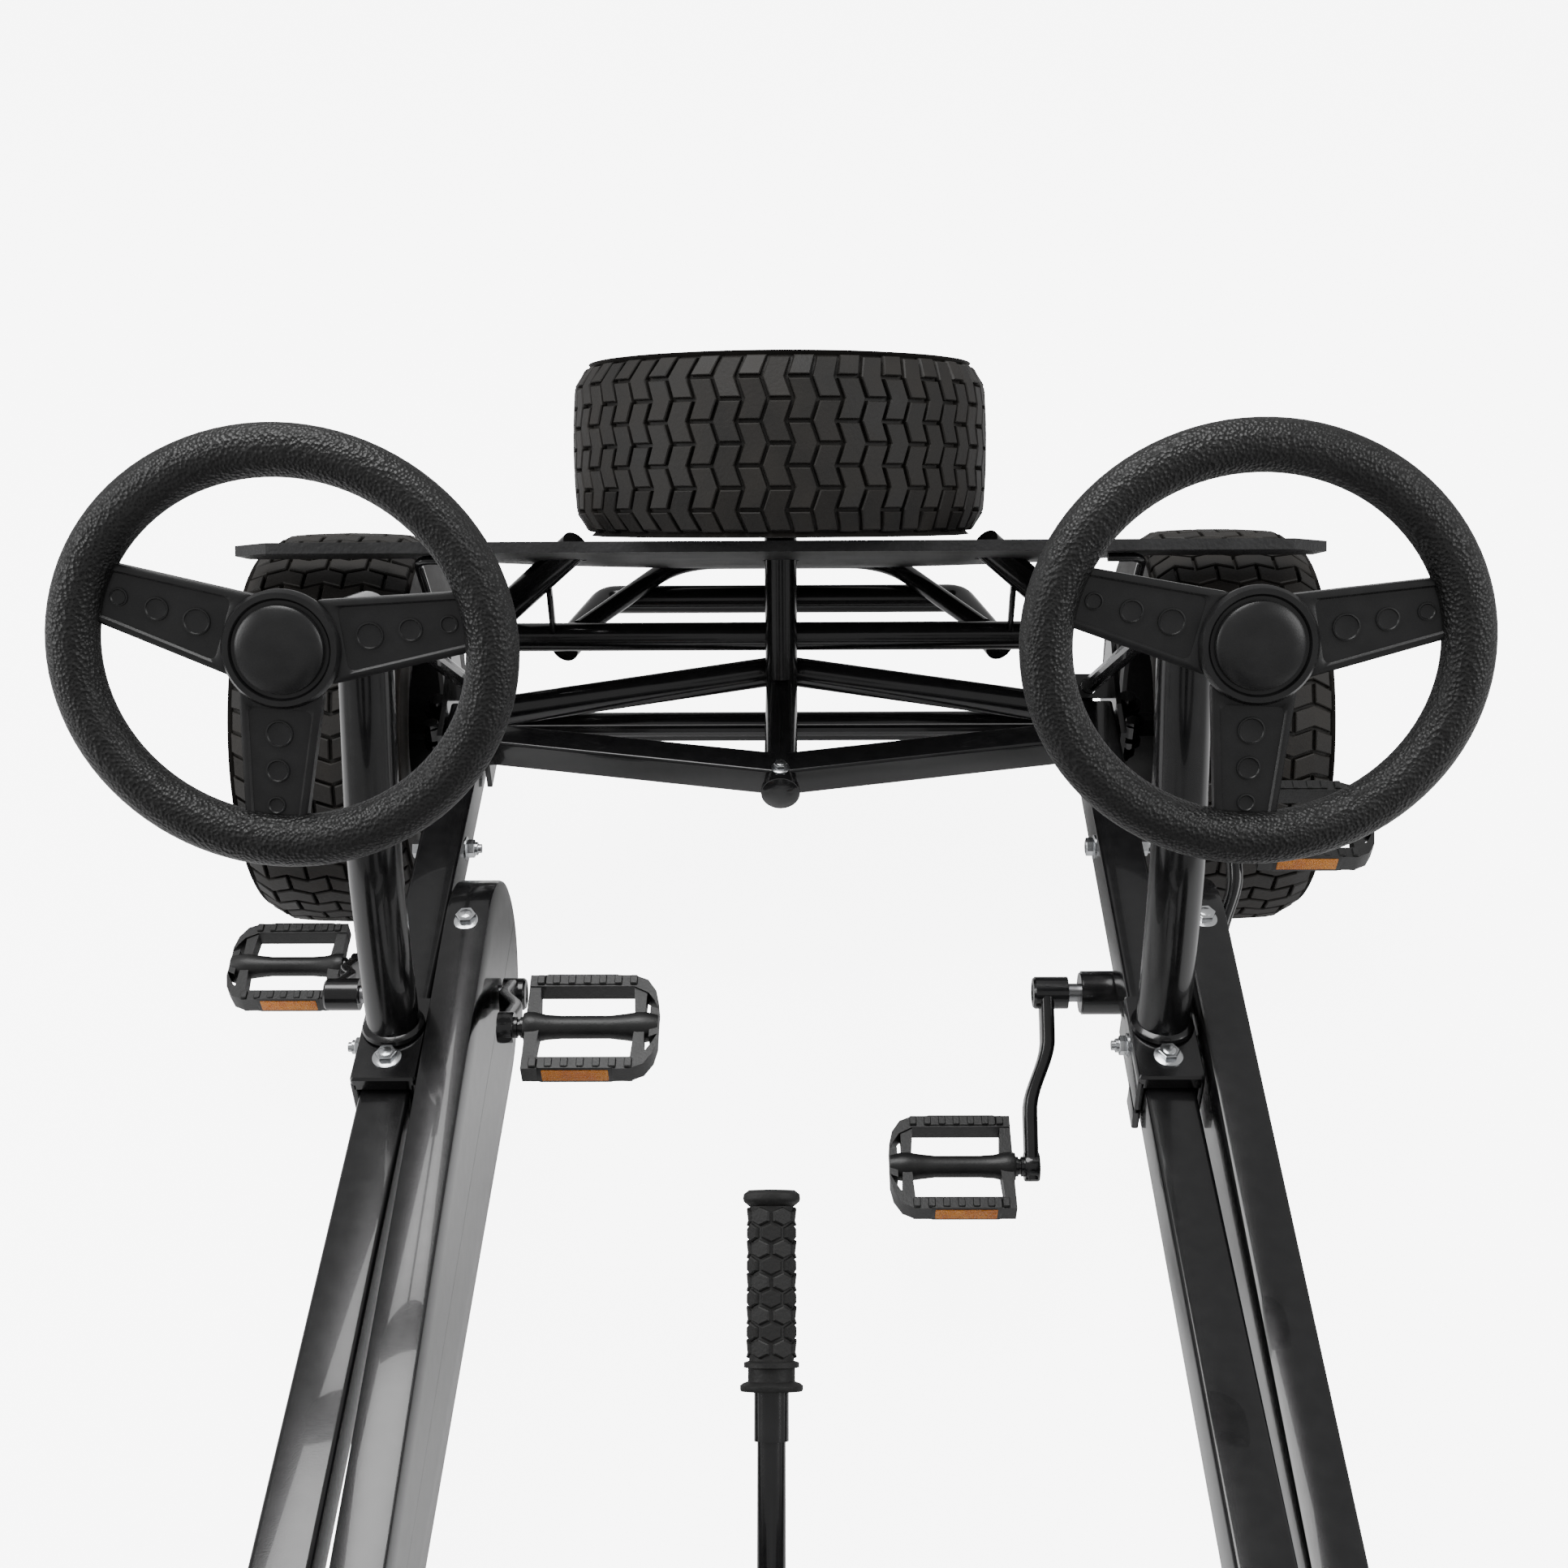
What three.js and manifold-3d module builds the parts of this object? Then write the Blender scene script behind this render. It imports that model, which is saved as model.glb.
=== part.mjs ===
// Two-seat side-by-side pedal go kart: two identical driving units share one frame.
// Millimetres, +Z up, +Y forward, +X to the driver's right.
// Inside the chassis group Y = 0 is the front axle and Z = 0 is the ground.
import * as THREE from "three";
import { mergeVertices } from "three/addons/utils/BufferGeometryUtils.js";
import Module from "manifold-3d";

const wasm = await Module();
wasm.setup();

// ---- driving dimensions -------------------------------------------------
const UNIT_X = 307.5; // each driving unit's centre line, left and right
const GAP = 0.3; // clearance between neighbouring pieces
const ROOT_Y = 637.3; // front axle to the middle of the overall length
const BEAM = { size: 40, wall: 3, z: 248, front: -50, rear: -1400 };
const TYRE = { radius: 200, halfWidth: 82.5, segments: 22 };
const RIM = { bore: 9.4, segments: 16 };
const FRONT_WHEEL_X = 438;
const REAR_WHEEL_X = 622;
const AXLE_Z = 200;
const REAR_AXLE_Y = -1198;
const KINGPIN_X = 352;
const TIE_ROD = { y: -42, z: 227, radius: 6 }; // parallel arms, so it is as long as the track
const SPARE = { y: 80, z: 476, tilt: 31 };
const CRANK = { y: -394, z: 208, length: 148 };
const CASE = { x0: 29, x1: 66, nose: 99, tail: 40, wall: 2 };
const CHAIN_X = 47.5;
const SPROCKET = { front: 65.5, rear: 29.5 };
const HUB = { y: -578, z: 703, lean: 28.84 };
const HEAD_TUBE = { y: -395, z: 602.2, length: 60, radius: 18 };
const U_JOINT = { y: -351, z: 578 };
const LOWER_SHAFT = { drop: 43.5, length: 476, pitman: 42 };
const SHAFT_R = 8;
const BOARD = { y: -75, z: 470, pitch: 35.5, thickness: 10 };
const BRAKE = { y: -1052, z: 200, rise: 36.87, length: 350 };
const DEG = Math.PI / 180;

// ---- solids -------------------------------------------------------------
const V = (x, y, z) => new THREE.Vector3(x, y, z);

// A three.js geometry as a manifold-3d solid.
function solid(geometry) {
  const bare = geometry.index ? geometry.toNonIndexed() : geometry.clone();
  bare.deleteAttribute("normal");
  bare.deleteAttribute("uv");
  const merged = mergeVertices(bare, 1e-3);
  const corners = merged.index.array;
  const kept = [];
  for (let i = 0; i < corners.length; i += 3) {
    const [a, b, c] = corners.slice(i, i + 3);
    if (a !== b && b !== c && a !== c) kept.push(a, b, c);
  }
  return new wasm.Manifold(
    new wasm.Mesh({
      numProp: 3,
      vertProperties: merged.attributes.position.array,
      triVerts: new Uint32Array(kept),
    }),
  );
}

const union = (parts) => parts.reduce((whole, part) => whole.add(part));
const cut = (body, tools) => tools.reduce((left, tool) => left.subtract(tool), body);

// A box given by its limits.
function block([x0, x1], [y0, y1], [z0, z1]) {
  const box = new THREE.BoxGeometry(x1 - x0, y1 - y0, z1 - z0);
  return solid(box.translate((x0 + x1) / 2, (y0 + y1) / 2, (z0 + z1) / 2));
}

// Turns a shape built along +Y so that it runs from a to b.
function between(geometry, a, b) {
  const along = b.clone().sub(a);
  const turn = new THREE.Quaternion().setFromUnitVectors(V(0, 1, 0), along.normalize());
  const middle = a.clone().add(b).multiplyScalar(0.5);
  return solid(geometry.applyQuaternion(turn).translate(middle.x, middle.y, middle.z));
}

function rod(a, b, radius, segments = 10) {
  const round = new THREE.CylinderGeometry(radius, radius, a.distanceTo(b), segments);
  return between(round, a, b);
}

// A rod parallel to X.
const crossRod = (x0, x1, y, z, radius, segments = 10) =>
  rod(V(x0, y, z), V(x1, y, z), radius, segments);

// A rectangular bar lying level from a to b.
function levelBar(a, b, width, height) {
  const run = b.clone().sub(a);
  const bar = new THREE.BoxGeometry(run.length(), width, height);
  bar.rotateZ(Math.atan2(run.y, run.x));
  return solid(bar.translate((a.x + b.x) / 2, (a.y + b.y) / 2, (a.z + b.z) / 2));
}

// A round tube swept through points.
function bentTube(points, radius, steps, sides = 10) {
  const section = new THREE.Shape();
  section.absarc(0, 0, radius, 0, 2 * Math.PI);
  const path = new THREE.CatmullRomCurve3(points, false, "centripetal");
  const options = { steps, extrudePath: path, curveSegments: sides / 2 };
  return solid(new THREE.ExtrudeGeometry(section, options));
}

// A solid of revolution about X from [radius, x] pairs that close on themselves or on the axis.
function lathe(profile, segments, phase = 0, flatten = 1) {
  const points = profile.map(([r, x]) => new THREE.Vector2(r, x));
  if (THREE.ShapeUtils.area(points) < 0) points.reverse();
  points.push(points[0].clone());
  const turned = new THREE.LatheGeometry(points, segments, phase);
  return solid(turned.rotateZ(-Math.PI / 2).scale(1, 1, flatten));
}

// A plate from a (Y, Z) outline, x0 to x1 thick.
function sidePlate(outline, x0, x1) {
  const shape = new THREE.Shape(outline.map(([y, z]) => new THREE.Vector2(y, z)));
  const plate = new THREE.ExtrudeGeometry(shape, { depth: x1 - x0, bevelEnabled: false });
  plate.applyMatrix4(new THREE.Matrix4().set(0, 0, 1, x0, 1, 0, 0, 0, 0, 1, 0, 0, 0, 0, 0, 1));
  return solid(plate);
}

// The outline of two circles and their outer tangents.
function pulleyOutline(front, rear, r1, r2, steps = 12) {
  const points = [];
  const gap = Math.hypot(front[0] - rear[0], front[1] - rear[1]);
  const lean = Math.asin((r1 - r2) / gap);
  const slope = Math.atan2(front[1] - rear[1], front[0] - rear[0]);
  const sweep = (centre, radius, from, to) => {
    for (let i = 0; i <= steps; i++) {
      const a = from + ((to - from) * i) / steps;
      points.push([centre[0] + radius * Math.cos(a), centre[1] + radius * Math.sin(a)]);
    }
  };
  sweep(front, r1, slope - Math.PI / 2 - lean, slope + Math.PI / 2 + lean);
  sweep(rear, r2, slope + Math.PI / 2 + lean, slope + 1.5 * Math.PI - lean);
  return points;
}

// ---- materials and the scene graph --------------------------------------
const FINISH = {
  frame: { color: 0x0b0b0c, roughness: 0.28, metalness: 0.35 },
  plastic: { color: 0x121213, roughness: 0.45, metalness: 0 },
  rubber: { color: 0x17140f, roughness: 0.85, metalness: 0 },
  rim: { color: 0x1a1a1b, roughness: 0.4, metalness: 0.5 },
  steel: { color: 0x9a9a98, roughness: 0.35, metalness: 1 },
  board: { color: 0x141414, roughness: 0.6, metalness: 0 },
};

const chassis = new THREE.Group();
chassis.position.y = ROOT_Y;
const kart = new THREE.Group();
kart.add(chassis);

// Adds a solid as a named mesh.
function piece(name, body, finish, parent = chassis) {
  const { vertProperties, triVerts } = body.getMesh();
  const indexed = new THREE.BufferGeometry();
  indexed.setAttribute("position", new THREE.BufferAttribute(vertProperties, 3));
  indexed.setIndex(new THREE.BufferAttribute(triVerts, 1));
  const geometry = indexed.toNonIndexed();
  geometry.computeVertexNormals();
  const mesh = new THREE.Mesh(geometry, new THREE.MeshStandardMaterial(FINISH[finish]));
  mesh.name = name;
  parent.add(mesh);
  return mesh;
}

const SIDES = [
  ["left", -1],
  ["right", 1],
];

function group(parent = chassis) {
  const made = new THREE.Group();
  parent.add(made);
  return made;
}

// ---- wheels -------------------------------------------------------------
const tyreBody = (() => {
  const { radius: R, halfWidth: w, segments } = TYRE;
  const crown = R / Math.cos(Math.PI / segments);
  const shoulder = [
    [104, 50],
    [104, 60],
    [122, w - 9],
    [150, w],
    [182, w - 5],
    [crown, w - 20],
  ];
  const opposite = shoulder.toReversed().map(([r, x]) => [r, -x]);
  const hollow = [
    [188, -62],
    [188, 62],
  ];
  return lathe([...shoulder, ...opposite, ...hollow], segments, Math.PI / segments);
})();

const rimBody = lathe(
  [
    [RIM.bore, -34],
    [30, -34],
    [30, 9],
    [98.5, 22],
    [98.5, -68],
    [112, -68],
    [102, -61],
    [102, 61],
    [112, 68],
    [98.5, 68],
    [98.5, 26],
    [30, 14],
    [30, 34],
    [RIM.bore, 34],
  ],
  RIM.segments,
);

function wheel(name, parent, x, y, z) {
  const place = group(parent);
  place.position.set(x, y, z);
  place.scale.x = x < 0 ? -1 : 1;
  piece(`${name}_tyre`, tyreBody, "rubber", place);
  piece(`${name}_rim`, rimBody, "rim", place);
  return place;
}

for (const [side, s] of SIDES) {
  wheel(`front_${side}`, chassis, s * FRONT_WHEEL_X, 0, AXLE_Z);
  wheel(`rear_${side}`, chassis, s * REAR_WHEEL_X, REAR_AXLE_Y, AXLE_Z);
}
const spare = wheel("spare", chassis, 0, SPARE.y, SPARE.z);
spare.rotation.set(-SPARE.tilt * DEG, -Math.PI / 2, 0, "XYZ");

// ---- frame --------------------------------------------------------------
const spareAxis = V(0, Math.sin(SPARE.tilt * DEG), Math.cos(SPARE.tilt * DEG));
const onSpare = (h) => V(0, SPARE.y, SPARE.z).addScaledVector(spareAxis, h);
const beamHalf = BEAM.size / 2;
const beamTop = BEAM.z + beamHalf;
const beamFoot = BEAM.z - beamHalf;

for (const [side, s] of SIDES) {
  const x = s * UNIT_X;
  const hollow = beamHalf - BEAM.wall;
  const tube = block(
    [x - beamHalf, x + beamHalf],
    [BEAM.rear, BEAM.front],
    [beamFoot, beamTop],
  ).subtract(
    block(
      [x - hollow, x + hollow],
      [BEAM.rear - 1, BEAM.front - BEAM.wall],
      [BEAM.z - hollow, BEAM.z + hollow],
    ),
  );
  const shell = crossRod(x - 47, x + 28, CRANK.y, CRANK.z, 19, 12);
  const saddle = block(
    [x - 14, x + 14],
    [CRANK.y - 12, CRANK.y + 12],
    [CRANK.z + 12, beamFoot + 1],
  );
  const tabs = [-440, -1010].map((y) =>
    block([x + beamHalf - 1, x + CASE.x0 - GAP], [y - 12, y + 12], [240, 244]),
  );
  const hanger = sidePlate(
    [
      [REAR_AXLE_Y - 34, beamFoot + 1],
      [REAR_AXLE_Y - 30, 172],
      [REAR_AXLE_Y + 30, 172],
      [REAR_AXLE_Y + 34, beamFoot + 1],
    ],
    x - 19,
    x + 19,
  );
  const bores = [
    crossRod(x - 48, x + 29, CRANK.y, CRANK.z, 8.4, 12),
    crossRod(x - 48, x + 29, REAR_AXLE_Y, AXLE_Z, 12.9, 12),
  ];
  piece(`main_beam_${side}`, cut(union([tube, shell, saddle, hanger, ...tabs]), bores), "frame");
}

const spineCutter = rod(V(0, -170, 250), V(0, 50, 250), 16.4, 12);
const postFoot = V(0, -4, 256);
const postTop = V(0, 58, 418.5);
const postCutter = rod(postFoot, postTop, 16.4, 12);
const crossTubeCutter = crossRod(-340, 340, 40, 285, 14.9, 12);

const braceEnd = 280.2; // the cradles' inner cheeks start here
const centreBrace = union([
  rod(V(0, -166, 250), V(0, 46, 250), 16, 12),
  rod(V(0, -172, 250), V(0, -164, 250), 18.5, 12),
  ...SIDES.flatMap(([, s]) => [
    levelBar(V(0, -142, 250), V(s * 300, -90, 250), 30, 30),
    rod(V(0, 30, 250), V(s * 276, -38, 250), 15, 12),
  ]),
]).intersect(block([-braceEnd, braceEnd], [-200, 80], [200, 300]));
piece("centre_brace", centreBrace, "frame");
piece(
  "front_axle_beam",
  crossRod(-329, 329, 0, AXLE_Z, 15, 12),
  "frame",
);
piece("cross_tube", crossRod(-280, 280, 40, 285, 14.5, 12).subtract(postCutter), "frame");

const post = union([
  rod(postFoot, postTop, 16, 12),
  rod(onSpare(-70), onSpare(-34 - GAP), 20, 12),
  rod(onSpare(-60), onSpare(46), 9, 12),
  rod(onSpare(34 + GAP), onSpare(46), 15, 6),
]).subtract(spineCutter);
piece("centre_post", post, "frame");

const bumper = bentTube(
  [
    V(-224, 46, 266),
    V(-202, 116, 262),
    V(-187, 143, 261),
    V(-150, 145, 261),
    V(150, 145, 261),
    V(187, 143, 261),
    V(202, 116, 262),
    V(224, 46, 266),
  ],
  15,
  20,
  10,
);
piece("bumper_hoop", bumper.subtract(crossTubeCutter), "frame");

const supportHoop = bentTube(
  [
    V(-206, 50, 287.4),
    V(-160, 118, 287.4),
    V(-118, 168, 287.4),
    V(-85, 181, 287.4),
    V(85, 181, 287.4),
    V(118, 168, 287.4),
    V(160, 118, 287.4),
    V(206, 50, 287.4),
  ],
  9.8,
  18,
  8,
);
piece("board_support_hoop", supportHoop.subtract(crossTubeCutter), "frame");

// ---- front board --------------------------------------------------------
const strutEnds = (s) => [V(s * 288, 52, 303), V(s * 200, 28, 402)];
const boardShape = new THREE.Shape();
const LOBE = { radius: 386.7, reach: 300, half: 345, wing: 88 };
const boardEdge = [
  [-470, 0],
  [470, 0],
  [510, 40],
  [510, LOBE.wing],
];
for (let i = 0; i <= 16; i++) {
  const x = LOBE.half * (1 - i / 8);
  boardEdge.push([x, LOBE.reach - LOBE.radius + Math.sqrt(LOBE.radius ** 2 - x ** 2)]);
}
boardEdge.push([-510, LOBE.wing], [-510, 40]);
boardShape.setFromPoints(boardEdge.map(([x, y]) => new THREE.Vector2(x, y)));
const slab = new THREE.ExtrudeGeometry(boardShape, {
  depth: BOARD.thickness,
  bevelEnabled: false,
});
slab.translate(0, 0, -BOARD.thickness);
slab.rotateX(-BOARD.pitch * DEG).translate(0, BOARD.y, BOARD.z);
const boardHoles = [
  rod(V(0, 16.6, 310), V(0, 67, 442), 19, 12),
  ...SIDES.map(([, s]) => rod(strutEnds(s)[0], V(s * 187, 24.5, 416.5), 18, 12)),
];
piece("front_board", cut(solid(slab), boardHoles), "board");

for (const [side, s] of SIDES) {
  const below = block([s * 280.2, s * 345].sort((a, b) => a - b), [-140, 80], [200, 306.4]);
  const strut = cut(rod(...strutEnds(s), 15, 12), [crossTubeCutter, below]);
  piece(`diagonal_strut_${side}`, strut, "frame");
}

// ---- front cradles, knuckles and steering linkage -----------------------
const innerCheek = [
  [-130, 226],
  [-130, 266],
  [-60, 272],
  [15, 306],
  [25, 306],
  [58, 240],
  [40, 212],
  [18, 216],
  [-24, 216],
  [-28, 240],
  [-54, 240],
  [-57, 226],
];
const outerCheek = [
  [-100, 222],
  [-100, 266],
  [-60, 272],
  [15, 306],
  [30, 306],
  [30, 215],
  [12, 215],
  [12, 150],
  [-22, 150],
  [-22, 215],
  [-28, 240],
  [-54, 240],
  [-57, 222],
];
const shaftDir = V(
  0,
  Math.cos(LOWER_SHAFT.drop * DEG),
  -Math.sin(LOWER_SHAFT.drop * DEG),
);
const onShaft = (x, t) => V(x, U_JOINT.y, U_JOINT.z).addScaledVector(shaftDir, t);
const BEARING_AT = 455;

// A flat bar square to the lower shaft.
function shaftPlate(x, t, thickness, width, from, to) {
  const plate = new THREE.BoxGeometry(width, thickness, to - from);
  plate.translate(0, 0, -(from + to) / 2);
  plate.rotateX(-LOWER_SHAFT.drop * DEG);
  const at = onShaft(x, t);
  return solid(plate.translate(at.x, at.y, at.z));
}

for (const [side, s] of SIDES) {
  const mirror = group();
  mirror.scale.x = s;
  const lug = (z0, z1) =>
    block([332, 352], [-15, 15], [z0, z1])
      .add(rod(V(KINGPIN_X, 0, z0), V(KINGPIN_X, 0, z1), 15, 12));
  const cradle = union([
    sidePlate(innerCheek, 280.5, 285.5),
    sidePlate(outerCheek, 329.5, 334.5),
    block([283, 332], [-100, -57], [222, beamFoot - GAP]),
    shaftPlate(UNIT_X, BEARING_AT, 8, 46, -12, 12),
    lug(166, 172),
    lug(222, 228),
  ]);
  const bores = [
    rod(V(KINGPIN_X, 0, 160), V(KINGPIN_X, 0, 240), 6.4, 8),
    rod(onShaft(UNIT_X, BEARING_AT - 20), onShaft(UNIT_X, BEARING_AT + 20), SHAFT_R + 0.4, 12),
  ];
  piece(`front_cradle_${side}`, cut(cradle, bores), "frame", mirror);

  const armEnd = (z) => V(KINGPIN_X, TIE_ROD.y, z);
  const arm = levelBar(V(KINGPIN_X, 0, 212), armEnd(212), 16, 6)
    .add(rod(armEnd(209), armEnd(215), 10, 12))
    .subtract(rod(armEnd(200), armEnd(220), 4.4, 8));
  const knuckle = union([
    rod(V(KINGPIN_X, 0, 172.3), V(KINGPIN_X, 0, 221.7), 13, 12),
    rod(V(KINGPIN_X, 0, 157), V(KINGPIN_X, 0, 237), 6, 8),
    rod(V(KINGPIN_X, 0, 157), V(KINGPIN_X, 0, 165.7), 9.5, 6),
    rod(V(KINGPIN_X, 0, 228.3), V(KINGPIN_X, 0, 237), 9.5, 6),
    crossRod(KINGPIN_X, FRONT_WHEEL_X - 34 - GAP, 0, AXLE_Z, 12, 12),
    crossRod(KINGPIN_X, FRONT_WHEEL_X + 46, 0, AXLE_Z, 9, 12),
    crossRod(FRONT_WHEEL_X + 34 + GAP, FRONT_WHEEL_X + 46, 0, AXLE_Z, 15, 6),
    arm,
  ]);
  piece(`knuckle_${side}`, knuckle, "frame", mirror);
}

const onTieRod = (x, z = TIE_ROD.z) => V(x, TIE_ROD.y, z);
const tieRod = union([
  rod(onTieRod(-KINGPIN_X), onTieRod(KINGPIN_X), TIE_ROD.radius),
  ...SIDES.flatMap(([, s]) => [
    rod(onTieRod(s * KINGPIN_X, 220), onTieRod(s * KINGPIN_X, 233.5), 8.5, 12),
    rod(onTieRod(s * KINGPIN_X, 203), onTieRod(s * KINGPIN_X, 234), 4, 8),
    rod(onTieRod(s * KINGPIN_X, 233), onTieRod(s * KINGPIN_X, 238.5), 7.5, 6),
    rod(onTieRod(s * UNIT_X), onTieRod(s * UNIT_X).addScaledVector(shaftDir, 17), 4, 8),
  ]),
]);
piece("tie_rod", tieRod, "frame");

// ---- steering posts, shafts and wheels ----------------------------------
const upperDir = V(0, Math.cos(HUB.lean * DEG), -Math.sin(HUB.lean * DEG));
const fromHub = (x, t) => V(x, HUB.y, HUB.z).addScaledVector(upperDir, t);
const hubToJoint = Math.hypot(U_JOINT.y - HUB.y, U_JOINT.z - HUB.z);

const WHEEL = { centreline: 133, section: 17, sides: 7, flatten: 280 / 300 };
const wheelRing = () => {
  const section = Array.from({ length: WHEEL.sides }, (_, i) => {
    const a = (2 * Math.PI * i) / WHEEL.sides;
    return [WHEEL.centreline + WHEEL.section * Math.cos(a), WHEEL.section * Math.sin(a)];
  });
  return lathe(section, 24, 0, WHEEL.flatten);
};
const SPOKES = [-103, 103, 0].map((turn) => turn * DEG);

const steeringWheel = (() => {
  const outline = new THREE.Shape(
    [
      [-26, 20],
      [26, 20],
      [18, 125],
      [-18, 125],
    ].map(([a, b]) => new THREE.Vector2(a, b)),
  );
  const spokes = SPOKES.map((turn) => {
    const spoke = new THREE.ExtrudeGeometry(outline, { depth: 9, bevelEnabled: false });
    spoke.rotateX(-Math.PI / 2).rotateZ(Math.PI / 2).rotateX(turn);
    return solid(spoke.translate(2, 0, 0));
  });
  const parts = [
    crossRod(-18, 8, 0, 0, 38, 12),
    crossRod(0, 12, 0, 0, 28, 12),
    ...spokes,
  ];
  return union([...parts, wheelRing()]).subtract(crossRod(-19, 0, 0, 0, SHAFT_R + GAP, 12));
})();

for (const [side, s] of SIDES) {
  const x = s * UNIT_X;
  const postPoints = [
    [-503, 276],
    [-494, 335],
    [-470, 431],
    [-447, 474],
    [-424, 514],
    [-398, 560],
    [-388, 585],
  ].map(([y, z]) => V(x, y, z));
  const headEnd = (t) =>
    V(x, HEAD_TUBE.y, HEAD_TUBE.z).addScaledVector(upperDir, t * HEAD_TUBE.length);
  const steeringPost = union([
    bentTube(postPoints, 21, 7, 12),
    rod(headEnd(-0.5), headEnd(0.5), HEAD_TUBE.radius, 12),
    block([x - 26, x + 26], [-560, -470], [beamTop + GAP, 282]),
    block([x - 26, x - beamHalf - GAP], [-560, -470], [240, 275]),
    block([x + beamHalf + GAP, x + 26], [-560, -470], [240, 275]),
    block([x - 26, x - beamHalf - GAP], [-560, -530], [222, 245]),
    block([x + beamHalf + GAP, x + 26], [-560, -530], [222, 245]),
  ]).subtract(rod(fromHub(x, 40), fromHub(x, hubToJoint), SHAFT_R + 0.4, 12));
  piece(`steering_post_${side}`, steeringPost, "frame");

  const upperShaft = union([
    rod(fromHub(x, 0.5), fromHub(x, hubToJoint - 4), SHAFT_R, 12),
    rod(fromHub(x, hubToJoint - 11), fromHub(x, hubToJoint - 3), 11, 12),
  ]);
  piece(`upper_shaft_${side}`, upperShaft, "steel");

  const end = LOWER_SHAFT.length;
  const slot = shaftPlate(x, end, 12, 8.8, LOWER_SHAFT.pitman - 6, LOWER_SHAFT.pitman + 8);
  const lowerShaft = union([
    rod(onShaft(x, 3), onShaft(x, 17), 12, 12),
    rod(onShaft(x, 4), onShaft(x, end), SHAFT_R, 12),
    shaftPlate(x, end, 5, 14, -10, LOWER_SHAFT.pitman + 6),
  ]).subtract(slot);
  piece(`lower_shaft_${side}`, lowerShaft, "frame");

  const wheelPlace = group();
  wheelPlace.position.set(x, HUB.y, HUB.z);
  wheelPlace.rotation.set(-HUB.lean * DEG, 0, 0);
  const turned = group(wheelPlace);
  turned.rotation.set(0, 0, -Math.PI / 2);
  piece(`steering_wheel_${side}`, steeringWheel, "plastic", turned);
}

// ---- chain drive --------------------------------------------------------
const crankAt = [CRANK.y, CRANK.z];
const axleAt = [REAR_AXLE_Y, AXLE_Z];
const driveLoop = (r1, r2, x0, x1, steps) =>
  sidePlate(pulleyOutline(crankAt, axleAt, r1, r2, steps), x0, x1);

for (const [side, s] of SIDES) {
  const x = s * UNIT_X;
  const { x0, x1, nose, tail, wall } = CASE;
  const shell = driveLoop(nose, tail, x + x0, x + x1, 9).subtract(
    driveLoop(nose - wall, tail - wall, x + x0 + wall, x + x1 - wall, 14),
  );
  const open = cut(shell, [
    crossRod(x, x + 90, ...crankAt, 12, 12),
    crossRod(x, x + 90, ...axleAt, 14, 12),
  ]);
  const slope = (CRANK.z - AXLE_Z) / (CRANK.y - REAR_AXLE_Y);
  const seamAt = (y) => AXLE_Z + slope * (y - REAR_AXLE_Y);
  const halfSpace = (sign) => {
    const [y0, y1] = [-1300, -200];
    return sidePlate(
      [
        [y0, seamAt(y0) + (sign * GAP) / 2],
        [y1, seamAt(y1) + (sign * GAP) / 2],
        [y1, AXLE_Z + sign * 300],
        [y0, AXLE_Z + sign * 300],
      ],
      x,
      x + 100,
    );
  };
  piece(`chain_case_upper_${side}`, open.intersect(halfSpace(1)), "frame");
  piece(`chain_case_lower_${side}`, open.intersect(halfSpace(-1)), "frame");

  const { front, rear } = SPROCKET;
  const chain = driveLoop(front + 7, rear + 7, x + CHAIN_X - 4, x + CHAIN_X + 4, 7).subtract(
    driveLoop(front + 1, rear + 1, x, x + 90, 12),
  );
  piece(`chain_${side}`, chain, "steel");

  const crankAxle = crossRod(x - 57.2, x + 67.7, ...crankAt, 8, 12).add(
    crossRod(x + CHAIN_X - 2, x + CHAIN_X + 2, ...crankAt, front, 24),
  );
  piece(`crank_axle_${side}`, crankAxle, "steel");
}

// Crank arm in its own frame: the axle is the origin, +X outward, the pedal at +Y.
function crankArm(bossFrom) {
  const bend = new THREE.Shape(
    [
      [-20, 70],
      [48, 70],
      [96, 87],
      [172, 87],
      [172, 99],
      [92, 99],
      [44, 82],
      [-20, 82],
    ].map(([y, x]) => new THREE.Vector2(x, y)),
  );
  const slab = new THREE.ExtrudeGeometry(bend, { depth: 40, bevelEnabled: false });
  const face = sidePlate(pulleyOutline([CRANK.length, 0], [0, 0], 12, 15, 8), 60, 110);
  const blank = solid(slab.translate(0, 0, -20)).intersect(face);
  return union([
    blank,
    crossRod(bossFrom, 87.7, 0, 0, 14, 12),
    crossRod(98, 106.7, CRANK.length, 0, 8.5, 8),
    crossRod(98, 205, CRANK.length, 0, 5, 8),
  ]);
}

// Pedal in its own frame: the spindle is the X axis, 0 at its inner end.
const pedalBody = (() => {
  const [length, rail, depth, half] = [107, 38, 12, 10];
  const rails = [-1, 1].map((s) =>
    block([8, length - 8], [s * rail - depth / 2, s * rail + depth / 2], [-half, half]),
  );
  const ends = [
    block([0, 10], [-rail, rail], [-half, half]),
    block([length - 24, length], [-rail + 8, rail - 8], [-half, half]),
    block([length - 24, length - 8], [-rail, rail], [-half, half]),
  ];
  const windows = [-1, 1].map((s) =>
    crossWindow(length - 19, length - 8, [s * 12, s * 30]),
  );
  const body = union([...rails, ...ends, crossRod(0, length, 0, 0, 10.5, 12)]);
  return cut(body, [...windows, crossRod(-1, 100, 0, 0, 5.4, 8)]);
})();

// An upright slot through a pedal end.
function crossWindow(x0, x1, limits) {
  return block([x0, x1], limits.toSorted((a, b) => a - b), [-20, 20]);
}

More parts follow.
